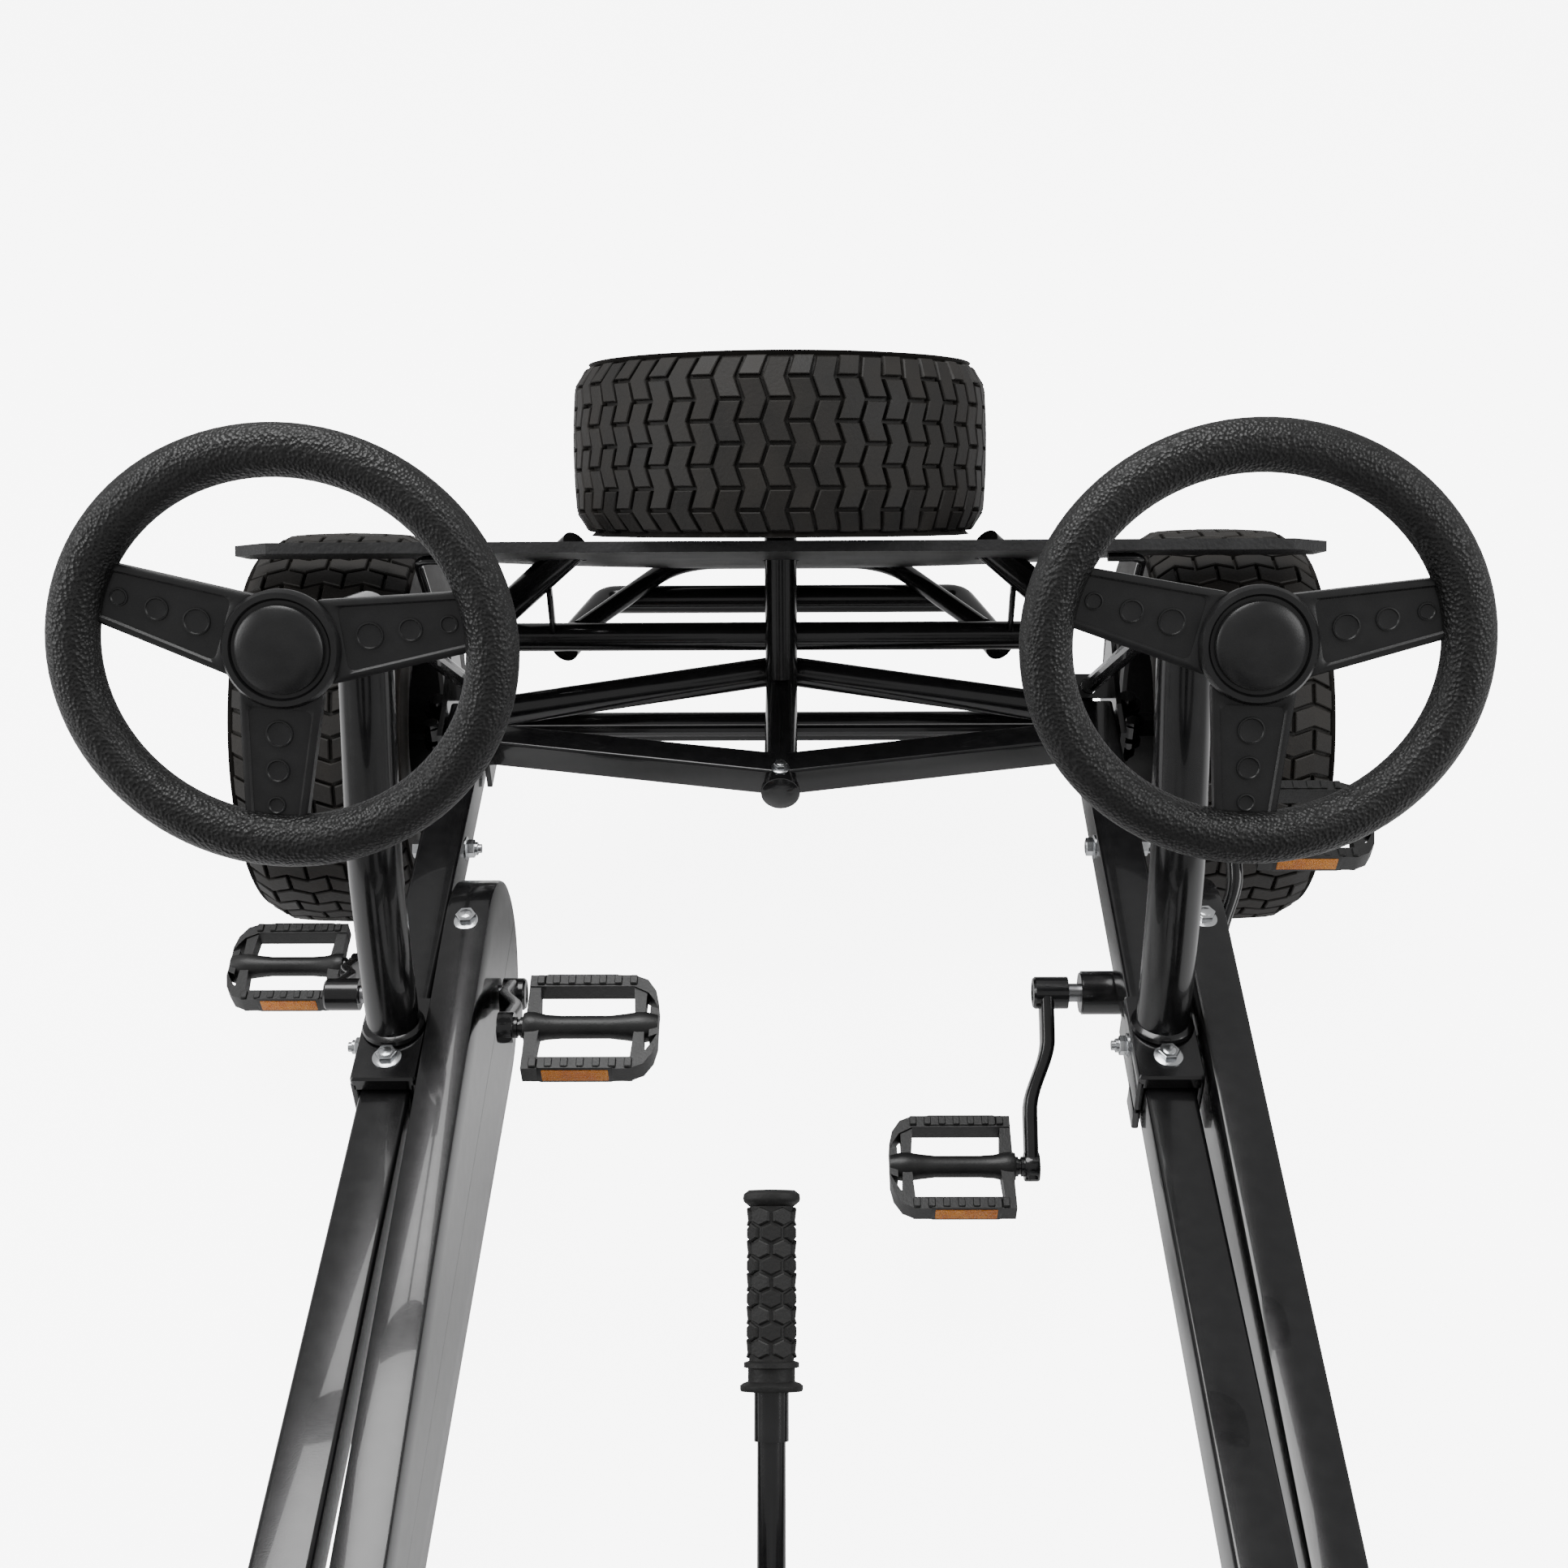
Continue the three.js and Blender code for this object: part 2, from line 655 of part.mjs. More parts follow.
const PEDAL_TURN = {
  left: { left: -35, right: 145 },
  right: { left: 218, right: 38 },
};
for (const [unit, u] of SIDES) {
  for (const [side, s] of SIDES) {
    const turn = PEDAL_TURN[unit][side];
    const place = group();
    place.position.set(u * UNIT_X, CRANK.y, CRANK.z);
    place.scale.x = s;
    const swung = group(place);
    swung.rotation.x = turn * DEG;
    piece(`crank_arm_${unit}_${side}`, crankArm(side === "left" ? 57.5 : 68), "frame", swung);
    const pedal = group(swung);
    pedal.position.set(107, CRANK.length, 0);
    pedal.rotation.x = (7 - turn) * DEG;
    piece(`pedal_${unit}_${side}`, pedalBody, "plastic", pedal);
  }
}

for (const [side, s] of SIDES) {
  const sprocketX = s * UNIT_X + CHAIN_X;
  const outer = s * (REAR_WHEEL_X - 34 - GAP);
  const halfAxle = union([
    crossRod(s * 200, outer, ...axleAt, 12.5, 12),
    crossRod(outer, s * (REAR_WHEEL_X + 46), ...axleAt, 9, 12),
    crossRod(s * (REAR_WHEEL_X + 34 + GAP), s * (REAR_WHEEL_X + 46), ...axleAt, 15, 6),
    crossRod(sprocketX - 2, sprocketX + 2, ...axleAt, SPROCKET.rear, 18),
  ]);
  piece(`rear_half_axle_${side}`, halfAxle, "steel");

}

// ---- rear frame, seats and brake lever ----------------------------------
const REAR_MEMBER_Y = -1330;
const memberEnd = UNIT_X - beamHalf - GAP;
const lugOutline = [
  [REAR_MEMBER_Y + 10, 230],
  [REAR_AXLE_Y - 22, 178],
  [REAR_AXLE_Y + 22, 178],
  [REAR_AXLE_Y + 22, 222],
  [REAR_AXLE_Y - 10, 228],
  [REAR_MEMBER_Y + 10, 262],
];
const rearMember = union([
  block([-memberEnd, memberEnd], [REAR_MEMBER_Y - 20, REAR_MEMBER_Y + 20], [228, 268]),
  ...SIDES.map(([, s]) => sidePlate(lugOutline, s * 215 - 5, s * 215 + 5)),
]).subtract(crossRod(-300, 300, ...axleAt, 12.9, 12));
piece("rear_cross_member", rearMember, "frame");

const PIVOT_TUBE = { y: -1075, z: beamTop + GAP + 15 };
const brakeBracket = [
  [PIVOT_TUBE.y - 10, PIVOT_TUBE.z],
  [BRAKE.y - 16, BRAKE.z - 14],
  [BRAKE.y + 16, BRAKE.z - 14],
  [BRAKE.y + 16, BRAKE.z + 14],
  [PIVOT_TUBE.y + 10, PIVOT_TUBE.z],
];
const midTube = union([
  crossRod(-330, 330, PIVOT_TUBE.y, PIVOT_TUBE.z, 15, 12),
  ...SIDES.map(([, s]) => sidePlate(brakeBracket, s * 14 - 2.5, s * 14 + 2.5)),
  crossRod(-16, 16, BRAKE.y, BRAKE.z, 5, 8),
]);
piece("mid_cross_tube", midTube, "frame");

const brakeDir = V(0, Math.cos(BRAKE.rise * DEG), Math.sin(BRAKE.rise * DEG));
const onLever = (t) => V(0, BRAKE.y, BRAKE.z).addScaledVector(brakeDir, t);
const GRIP = { length: 125, radius: 16.25, bore: 11.3 };
const gripFrom = BRAKE.length - GRIP.length;
const lever = union([
  crossRod(-9, 9, BRAKE.y, BRAKE.z, 13, 12),
  rod(onLever(6), onLever(BRAKE.length - 5), 9, 12),
  rod(onLever(gripFrom - 30), onLever(BRAKE.length - 5), 11, 12),
]).subtract(crossRod(-20, 20, BRAKE.y, BRAKE.z, 5.8, 8));
piece("brake_lever", lever, "frame");

const grip = lathe(
  [
    [0, 0],
    [19, 0],
    [19, -4],
    [GRIP.radius, -6],
    [GRIP.radius, 8 - GRIP.length],
    [20, 5 - GRIP.length],
    [20, -GRIP.length],
    [GRIP.bore, -GRIP.length],
    [GRIP.bore, -4],
    [0, -4],
  ],
  12,
);
const gripPlace = group();
gripPlace.position.copy(onLever(BRAKE.length));
gripPlace.rotation.set(BRAKE.rise * DEG, 0, Math.PI / 2);
piece("brake_grip", grip, "rubber", gripPlace);

const SEAT = { front: -1030, rear: -1560, half: 180, shell: 10, wing: 22 };
const seatShell = [
  [SEAT.front, 372],
  [SEAT.front - 90, 344],
  [-1390, 340],
  [-1440, 372],
  [-1560, 836],
  [-1552, 846],
  [-1544, 838],
  [-1430, 382],
  [-1388, 350],
  [SEAT.front - 86, 354],
  [SEAT.front, 386],
];
const seatWing = [
  [SEAT.front, 373],
  [SEAT.front - 90, 345],
  [-1390, 341],
  [-1440, 373],
  [-1548, 790],
  [-1500, 780],
  [-1440, 640],
  [-1400, 480],
  [-1330, 440],
  [SEAT.front - 20, 425],
];
const seatBody = union([
  sidePlate(seatShell, -SEAT.half, SEAT.half),
  sidePlate(seatWing, SEAT.half - 1, SEAT.half + SEAT.wing),
  sidePlate(seatWing, -SEAT.half - SEAT.wing, 1 - SEAT.half),
]);
const MOUNT = { y0: -1235, y1: -1165, top: 339.5 };
const seatMount = union([
  block([-26, 26], [MOUNT.y0, MOUNT.y1], [beamTop + GAP, 276]),
  block([-26, -beamHalf - GAP], [MOUNT.y0, MOUNT.y1], [238, 270]),
  block([beamHalf + GAP, 26], [MOUNT.y0, MOUNT.y1], [238, 270]),
  block([-20, 20], [-1225, -1175], [274, 335]),
  block([-90, 90], [-1290, -1140], [333, MOUNT.top]),
]);
for (const [side, s] of SIDES) {
  const place = group();
  place.position.x = s * UNIT_X;
  piece(`seat_${side}`, seatBody, "plastic", place);
  piece(`seat_mount_${side}`, seatMount, "frame", place);
}

export default kart;
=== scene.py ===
"""Looks of the two-seat pedal go kart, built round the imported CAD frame."""

import math

import bmesh
import bpy
from mathutils import Matrix, Vector


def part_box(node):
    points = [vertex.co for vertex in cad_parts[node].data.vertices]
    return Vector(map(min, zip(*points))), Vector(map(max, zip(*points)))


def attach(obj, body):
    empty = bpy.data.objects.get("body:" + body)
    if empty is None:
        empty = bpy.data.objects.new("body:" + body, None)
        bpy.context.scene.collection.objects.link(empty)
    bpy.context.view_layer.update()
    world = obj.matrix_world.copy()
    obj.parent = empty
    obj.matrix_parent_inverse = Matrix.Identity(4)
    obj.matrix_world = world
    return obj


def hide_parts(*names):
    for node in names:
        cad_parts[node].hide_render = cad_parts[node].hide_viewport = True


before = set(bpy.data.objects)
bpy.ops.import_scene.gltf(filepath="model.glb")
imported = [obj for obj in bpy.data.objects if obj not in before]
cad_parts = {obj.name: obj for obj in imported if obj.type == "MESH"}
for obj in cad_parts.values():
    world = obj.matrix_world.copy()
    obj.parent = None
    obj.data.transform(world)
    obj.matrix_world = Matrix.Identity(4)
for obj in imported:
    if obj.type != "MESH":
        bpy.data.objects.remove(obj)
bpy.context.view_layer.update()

MM = 0.001
SIDES = (("left", -1), ("right", 1))
SPARE_AT = (0, 80, 476)
SPARE_TILT = math.radians(31)  # how far the bumper tyre's axis leans forward from upright
HUB_YZ = (-578, 703)
COLUMN_LEAN = math.radians(28.84)
CRANK_YZ = (-394, 208)
CRANK_LENGTH = 148


def middle(node):
    low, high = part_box(node)
    return (Vector(low) + Vector(high)) / 2


AXLE = middle("front_axle_beam")  # the front axle line: everything below is measured from it
UNIT_X = middle("steering_post_right").x / MM


def at(x, y, z):
    """A point given in mm from the middle of the front axle, at ground height, in the row frame."""
    return Vector((x * MM, y * MM + AXLE.y, z * MM))


# ---- camera, light and floor ---------------------------------------------
def studio():
    camera = bpy.data.objects.new("camera", bpy.data.cameras.new("camera"))
    camera.data.lens = 43.79
    camera.data.sensor_width = 36
    camera.location = at(21, -1568, 1393)
    look = Matrix.Rotation(math.radians(0.72), 4, "Z") @ Matrix.Rotation(math.radians(51), 4, "X")
    camera.matrix_world = (
        Matrix.Translation(camera.location) @ look @ Matrix.Rotation(math.radians(-0.65), 4, "Z")
    )
    bpy.context.collection.objects.link(camera)
    bpy.context.scene.camera = camera

    world = bpy.data.worlds.new("studio")
    world.use_nodes = True
    world.node_tree.nodes["Background"].inputs["Color"].default_value = (1, 1, 1, 1)
    world.node_tree.nodes["Background"].inputs["Strength"].default_value = 0.45
    bpy.context.scene.world = world
    for name, place, size, power in (
        ("key", (-0.6, 0.9, 3.2), 1.6, 70),
        ("fill", (2.4, -0.5, 2.0), 1.4, 26),
        ("side", (-2.6, -0.2, 1.6), 1.2, 26),
    ):
        lamp = bpy.data.lights.new(name, "AREA")
        lamp.size = size
        lamp.energy = power
        lit = bpy.data.objects.new(name, lamp)
        lit.location = place
        lit.rotation_euler = (Vector((0, 0.2, 0.3)) - lit.location).to_track_quat("-Z", "Y").to_euler()
        bpy.context.collection.objects.link(lit)

    bpy.ops.mesh.primitive_plane_add(size=60, location=(0, 0, -0.0005))
    floor = bpy.context.object
    floor.name = "floor"
    white = plain("floor", (0.93, 0.93, 0.935), 0.6)
    shader = white.node_tree.nodes["Principled BSDF"]
    shader.inputs["Emission Color"].default_value = (1, 1, 1, 1)
    path = white.node_tree.nodes.new("ShaderNodeLightPath")
    glow = white.node_tree.nodes.new("ShaderNodeMath")
    glow.operation = "MULTIPLY"
    glow.inputs[1].default_value = 7.0
    white.node_tree.links.new(path.outputs["Is Camera Ray"], glow.inputs[0])
    white.node_tree.links.new(glow.outputs[0], shader.inputs["Emission Strength"])
    floor.data.materials.append(white)


# ---- materials -----------------------------------------------------------
def plain(name, colour, roughness, metallic=0.0, coat=0.0):
    made = bpy.data.materials.new(name)
    made.use_nodes = True
    shader = made.node_tree.nodes["Principled BSDF"]
    shader.inputs["Base Color"].default_value = (*colour, 1)
    shader.inputs["Roughness"].default_value = roughness
    shader.inputs["Metallic"].default_value = metallic
    shader.inputs["Coat Weight"].default_value = coat
    return made


def textured(name, colours, roughness, scale, bump, metallic=0.0, coat=0.0, cells=False):
    """A finish whose colour and roughness wander between two values, with fine bumps."""
    made = plain(name, colours[0], roughness[0], metallic, coat)
    tree = made.node_tree
    shader = tree.nodes["Principled BSDF"]
    place = tree.nodes.new("ShaderNodeTexCoord")
    blotch = tree.nodes.new("ShaderNodeTexNoise")
    blotch.inputs["Scale"].default_value = scale / 12
    blotch.inputs["Detail"].default_value = 5
    colour = tree.nodes.new("ShaderNodeValToRGB")
    colour.color_ramp.elements[0].position = 0.35
    colour.color_ramp.elements[0].color = (*colours[0], 1)
    colour.color_ramp.elements[1].position = 0.7
    colour.color_ramp.elements[1].color = (*colours[1], 1)
    sheen = tree.nodes.new("ShaderNodeMapRange")
    sheen.inputs["To Min"].default_value = roughness[0]
    sheen.inputs["To Max"].default_value = roughness[1]
    grain = tree.nodes.new("ShaderNodeTexVoronoi" if cells else "ShaderNodeTexNoise")
    grain.inputs["Scale"].default_value = scale
    height = tree.nodes.new("ShaderNodeBump")
    height.inputs["Strength"].default_value = bump
    height.inputs["Distance"].default_value = 0.0012
    link = tree.links.new
    link(place.outputs["Object"], blotch.inputs["Vector"])
    link(place.outputs["Object"], grain.inputs["Vector"])
    link(blotch.outputs["Fac"], colour.inputs["Fac"])
    link(blotch.outputs["Fac"], sheen.inputs["Value"])
    link(colour.outputs["Color"], shader.inputs["Base Color"])
    link(sheen.outputs["Result"], shader.inputs["Roughness"])
    link(grain.outputs["Distance" if cells else "Fac"], height.inputs["Height"])
    link(height.outputs["Normal"], shader.inputs["Normal"])
    return made


BLACK = (0.006, 0.006, 0.0065)
PAINT = textured("gloss_black", (BLACK, (0.009, 0.009, 0.0095)), (0.16, 0.26), 900, 0.04, coat=0.4)
SATIN = textured("satin_black", (BLACK, (0.010, 0.010, 0.010)), (0.38, 0.5), 700, 0.08)
GRAIN = textured("leather_grain", ((0.005, 0.005, 0.005), (0.009, 0.009, 0.009)), (0.36, 0.5), 420, 0.75,
                 cells=True)
SPOKE = textured("spoke_plastic", ((0.010, 0.010, 0.0105), (0.015, 0.015, 0.0155)), (0.3, 0.42), 800, 0.06)
TYRE = textured("tyre_rubber", ((0.010, 0.009, 0.008), (0.020, 0.017, 0.014)), (0.5, 0.72), 300, 0.2)
GRIP = textured("grip_rubber", ((0.008, 0.008, 0.008), (0.015, 0.0145, 0.014)), (0.5, 0.65), 500, 0.2)
BOARD = textured("board", ((0.012, 0.012, 0.0125), (0.024, 0.024, 0.025)), (0.42, 0.6), 260, 0.5)
PEDAL = textured("pedal_plastic", ((0.010, 0.010, 0.010), (0.018, 0.018, 0.018)), (0.34, 0.5), 600, 0.15)
SEAT = textured("seat_plastic", ((0.012, 0.012, 0.0125), (0.02, 0.02, 0.021)), (0.4, 0.52), 900, 0.15)
ZINC = textured("zinc", ((0.62, 0.64, 0.66), (0.78, 0.79, 0.8)), (0.16, 0.3), 500, 0.05, metallic=1.0)
STEEL = textured("steel", ((0.3, 0.3, 0.31), (0.42, 0.42, 0.43)), (0.25, 0.4), 400, 0.08, metallic=1.0)
AMBER = textured("amber", ((0.75, 0.20, 0.01), (0.9, 0.32, 0.02)), (0.12, 0.2), 900, 0.9, cells=True)


# ---- mesh building -------------------------------------------------------
def finish_mesh(mesh, name, material, body, nodes=(), matrix=None, angle=35):
    """Turns a bmesh into a piece of the object that rides on a body."""
    bmesh.ops.recalc_face_normals(mesh, faces=mesh.faces)
    data = bpy.data.meshes.new(name)
    mesh.to_mesh(data)
    mesh.free()
    if matrix is not None:
        data.transform(matrix)
    data.materials.append(material)
    piece = bpy.data.objects.new(name, data)
    bpy.context.collection.objects.link(piece)
    data.shade_smooth()
    data.set_sharp_from_angle(angle=math.radians(angle))
    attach(piece, body)
    if nodes:
        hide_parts(*nodes)
    return piece


def rings(mesh, loops, closed_along=False, caps=True):
    """Skins a list of equal closed loops of points."""
    made = [[mesh.verts.new(point) for point in loop] for loop in loops]
    count = len(made[0])
    pairs = list(zip(made, made[1:]))
    if closed_along:
        pairs.append((made[-1], made[0]))
    for a, b in pairs:
        for i in range(count):
            j = (i + 1) % count
            mesh.faces.new((a[i], a[j], b[j], b[i]))
    if caps and not closed_along:
        mesh.faces.new(made[0][::-1])
        mesh.faces.new(made[-1])


def lathe(mesh, profile, matrix=Matrix.Identity(4), segments=64):
    """A turned body: profile is (radius, height) pairs that close on themselves, or on the Z axis, in mm."""
    loops = []
    for i in range(segments):
        a = 2 * math.pi * i / segments
        turn = (math.cos(a) * MM, math.sin(a) * MM)
        loops.append([matrix @ Vector((r * turn[0], r * turn[1], h * MM)) for r, h in profile])
    rings(mesh, loops, closed_along=True)
    bmesh.ops.remove_doubles(mesh, verts=mesh.verts, dist=1e-6)


def smooth_path(points, bend, steps=8):
    """The same route with each inner corner rounded off over a length bend."""
    route = [points[0]]
    for before, corner, after in zip(points, points[1:], points[2:]):
        start = corner + (before - corner).normalized() * min(bend, (before - corner).length * 0.49)
        end = corner + (after - corner).normalized() * min(bend, (after - corner).length * 0.49)
        for i in range(steps + 1):
            t = i / steps
            route.append(start.lerp(corner, t).lerp(corner.lerp(end, t), t))
    return route + [points[-1]]


def tube(mesh, points, radius, sides=28, square=False, bevel=3.0):
    """A round or square tube along points in metres; radius in mm."""
    if square:
        section = rounded_rectangle(2 * radius, 2 * radius, bevel, 4)
    else:
        section = [
            Vector((radius * math.cos(2 * math.pi * i / sides), radius * math.sin(2 * math.pi * i / sides)))
            for i in range(sides)
        ]
    directions = []
    for i, point in enumerate(points):
        before = points[max(i - 1, 0)]
        after = points[min(i + 1, len(points) - 1)]
        directions.append((after - before).normalized())
    across = directions[0].cross(Vector((0, 0, 1)))
    across = across.normalized() if across.length > 0.05 else Vector((1, 0, 0))
    loops = []
    for point, ahead in zip(points, directions):
        across = (across - ahead * across.dot(ahead)).normalized()
        up = across.cross(ahead)
        loops.append([point + (across * p.x + up * p.y) * MM for p in section])
    rings(mesh, loops)


def rounded_rectangle(width, height, radius, steps=5):
    """Corner arcs of a rectangle centred on the origin, in mm."""
    outline = []
    for k, (sx, sy) in enumerate(((1, 1), (-1, 1), (-1, -1), (1, -1))):
        for i in range(steps + 1):
            a = math.pi / 2 * (k + i / steps)
            outline.append(Vector((
                sx * (width / 2 - radius) + radius * math.cos(a),
                sy * (height / 2 - radius) + radius * math.sin(a),
            )))
    return outline


def prism(mesh, outline, low, high, matrix=Matrix.Identity(4), chamfer=0.0):
    """A flat plate from an outline in mm, with its top edge eased by chamfer."""
    centre = sum(outline, Vector((0, 0))) / len(outline)
    def loop(height, inset):
        made = []
        for p in outline:
            pull = (p - centre).length
            q = centre + (p - centre) * max(0.0, (pull - inset) / pull) if pull else p
            made.append(matrix @ Vector((q.x * MM, q.y * MM, height * MM)))
        return made
    levels = [loop(low, chamfer), loop(low + chamfer, 0), loop(high - chamfer, 0), loop(high, chamfer)]
    rings(mesh, levels if chamfer else [loop(low, 0), loop(high, 0)])


def frame_of(origin, ahead, up=Vector((0, 0, 1))):
    """A matrix with Z along ahead and Y as near to up as it can be."""
    z = ahead.normalized()
    x = up.cross(z)
    x = x.normalized() if x.length > 1e-4 else Vector((1, 0, 0))
    y = z.cross(x)
    made = Matrix((x, y, z)).transposed().to_4x4()
    made.translation = origin
    return made


def box(mesh, low, high, matrix=Matrix.Identity(4), chamfer=1.0):
    """A box from its corners in mm, edges eased."""
    size = [b - a for a, b in zip(low, high)]
    outline = [
        p + Vector(((low[0] + high[0]) / 2, (low[1] + high[1]) / 2))
        for p in rounded_rectangle(size[0], size[1], min(chamfer * 1.5, size[0] / 3, size[1] / 3), 3)
    ]
    prism(mesh, outline, low[2], high[2], matrix, min(chamfer, size[2] / 3))


# ---- wheels --------------------------------------------------------------
TREAD = {"columns": 56, "length": 38.5, "zig": 3.3, "groove": 3.6, "depth": 6.0, "half": 77}


def crown(x):
    """Tread radius in mm at a distance x across the tyre."""
    shoulder = max(0.0, abs(x) - 56)
    return 200 - 0.0007 * x * x - 0.022 * shoulder * shoulder


def tread_block(mesh, column, low, high, kink, swing, matrix):
    """One chevron block: it spans low..high across the tyre, with its bend at kink."""
    pitch = 2 * math.pi / TREAD["columns"]
    half = (2 * math.pi * 200 / TREAD["columns"] - TREAD["groove"]) / 2
    across = sorted({low, min(max(kink, low + 1), high - 1), high})

    def offset(x):
        reach = TREAD["length"] / 2
        return swing * TREAD["zig"] * (1 - 2 * min(1.0, abs(x - kink) / reach))

    def ring(sink, inset):
        left, right = [], []
        for x in across:
            y = x + (inset if x == low else -inset if x == high else 0)
            r = crown(y) - sink
            for side, side_points in ((-1, left), (1, right)):
                arc = offset(x) + side * (half - inset)
                a = column * pitch + arc / 200
                side_points.append(
                    matrix @ Vector((r * math.cos(a) * MM, r * math.sin(a) * MM, y * MM))
                )
        return left + right[::-1]

    loops = [ring(TREAD["depth"] + 1, -0.5), ring(1.0, 0), ring(0, 0.9)]
    rings(mesh, loops)


def tyre(name, node, body, matrix):
    mesh = bmesh.new()
    base = TREAD["depth"]
    outer = [(104, -60), (109, -65), (116, -69), (120, -72), (122, -71.5), (124, -76), (140, -80.5),
             (158, -82.3), (160, -81.6), (176, -81.8), (184, -81)]
    arc = [(crown(x) - base, x) for x in range(-77, 78, 7)]
    profile = outer + arc + [(r, -h) for r, h in outer[::-1]] + [(104, 50), (184, 58), (184, -58), (104, -50)]
    lathe(mesh, profile, matrix, 112)
    length = TREAD["length"]
    for column in range(TREAD["columns"]):
        stagger = (column % 2) * length / 2
        start = -3 * length - stagger
        while start < TREAD["half"]:
            low = max(start + 1.8, -TREAD["half"])
            high = min(start + length - 1.8, TREAD["half"])
            if high - low > 6:
                swing = 1 if column % 2 else -1
                tread_block(mesh, column, low, high, start + length / 2, swing, matrix)
            start += length
    piece = finish_mesh(mesh, name, TYRE, body, [node], angle=28)
    return piece


def rim(name, node, body, matrix):
    mesh = bmesh.new()
    profile = [(10, -34), (26, -34), (29, -31), (29, 6), (34, 9), (60, 15), (92, 20), (96, 18), (96, -68),
               (99, -72), (108, -74), (112, -71), (110, -68), (102, -62), (102, -20), (94, -12), (94, 12),
               (102, 20), (102, 62), (110, 68), (112, 71), (108, 74), (99, 72), (98, 30), (92, 26), (60, 21),
               (34, 15), (29, 14), (29, 31), (26, 34), (10, 34)]
    lathe(mesh, profile, matrix, 72)
    for i in range(4):
        a = math.pi / 2 * (i + 0.5)
        spot = matrix @ Matrix.Translation((45 * math.cos(a) * MM, 45 * math.sin(a) * MM, 16 * MM))
        hexagon(mesh, spot, 7, 9)
    return finish_mesh(mesh, name, SATIN, body, [node])


def hexagon(mesh, matrix, radius, height):
    outline = [
        Vector((radius * math.cos(math.pi / 3 * i), radius * math.sin(math.pi / 3 * i))) for i in range(6)
    ]
    prism(mesh, outline, 0, height, matrix, 0.6)


def wheels():
    for side, s in SIDES:
        outward = Vector((s, 0, 0))
        for end, body in (("front", f"front_wheel_{side}"), ("rear", f"rear_drive_{side}")):
            place = frame_of(middle(f"{end}_{side}_rim"), outward)
            tyre(f"{end}_tyre_{side}", f"{end}_{side}_tyre", body, place)
            rim(f"{end}_wheel_{side}", f"{end}_{side}_rim", body, place)
    place = frame_of(at(*SPARE_AT), Vector((0, math.sin(SPARE_TILT), math.cos(SPARE_TILT))), Vector((0, 1, 0)))
    tyre("bumper_tyre", "spare_tyre", "spare_wheel", place)
    rim("bumper_wheel", "spare_rim", "spare_wheel", place)


# ---- frame ---------------------------------------------------------------
def tubes(name, runs, body="frame", nodes=(), material=None, extra=None):
    """A piece made of round tubes: runs are (points, radius) pairs."""
    mesh = bmesh.new()
    for points, radius in runs:
        tube(mesh, points, radius)
    if extra:
        extra(mesh)
    return finish_mesh(mesh, name, material or PAINT, body, nodes)


def bolt(name, place, ahead, body="frame", size=6.3, washer=8.6, height=6.0, material=None, nut=False):
    """A flange bolt head, or a nyloc nut, standing on a face."""
    mesh = bmesh.new()
    spot = frame_of(place, ahead, Vector((0.3, 0.2, 1)))
    lathe(mesh, [(0, 0), (washer, 0), (washer, 0.8), (size, 2.0), (0, 2.0)], spot, 32)
    hexagon(mesh, spot, size, height)
    top = height + (3.0 if nut else 0.5)
    cap = size * (0.72 if nut else 0.6)
    lathe(mesh, [(0, height - 1), (cap, height - 1), (cap, top - 0.4), (cap * 0.85, top), (0, top)], spot, 24)
    if nut:
        lathe(mesh, [(0, 0), (size * 0.5, 0), (size * 0.5, top + 3), (0, top + 3.5)], spot, 20)
    return finish_mesh(mesh, name, material or ZINC, body)


def beam(side, s):
    x = s * UNIT_X
    mesh = bmesh.new()
    tube(mesh, [at(x, -1400, 248), at(x, -50, 248)], 20, square=True, bevel=3.5)
    tube(mesh, [at(x - 47, *CRANK_YZ), at(x - 45.5, *CRANK_YZ)], 17.5)
    tube(mesh, [at(x - 45.5, *CRANK_YZ), at(x + 28, *CRANK_YZ)], 19)
    box(mesh, (x - 14, -406, 220), (x + 14, -382, 229), shift())
    for y in (-440, -1010):
        box(mesh, (x + 19, y - 12, 240), (x + 28.5, y + 12, 244), shift())
    box(mesh, (x - 19, -1231, 172), (x - 10, -1165, 229), shift())
    box(mesh, (x + 10, -1231, 172), (x + 19, -1165, 229), shift())
    finish_mesh(mesh, f"beam_{side}", PAINT, "frame", [f"main_beam_{side}"])
    bolt(f"beam_bolt_in_{side}", at(x - 20.2, -248, 249), Vector((-1, 0, 0)), size=8.5, washer=11, height=8)
    bolt(f"beam_bolt_out_{side}", at(x + 20.2, -248, 249), Vector((1, 0, 0)), size=8.5, washer=11, height=8,
         nut=True)


def shift():
    """Matrix from chassis coordinates to the row frame."""
    return Matrix.Translation(Vector((0, AXLE.y, 0)))


def brace():
    runs = [
        ([at(0, -168, 250), at(0, 46, 250)], 16),
        ([at(0, -171, 250), at(0, -165, 250)], 18.5),
    ]
    for _, s in SIDES:
        runs.append(([at(s * 4, 29, 250), at(s * 280, -39, 250)], 15))

    def extra(mesh):
        for _, s in SIDES:
            tube(mesh, [at(s * 4, -141, 250), at(s * 280.3, -93.5, 250)], 15, square=True, bevel=3)
        dome = [(0, 4.5), (9, 3.6), (15, 1.6), (17.8, 0), (17.8, -3), (0, -3)]
        lathe(mesh, dome, frame_of(at(0, -171, 250), Vector((0, -1, 0))), 40)

    tubes("centre_brace_tubes", runs, nodes=["centre_brace"], extra=extra)
    bolt("brace_bolt", at(0, -152, 266), Vector((0, 0, 1)), size=6.5, washer=8.8)


def rounded_route(points, bend):
    return smooth_path([at(*p) for p in points], bend * MM)


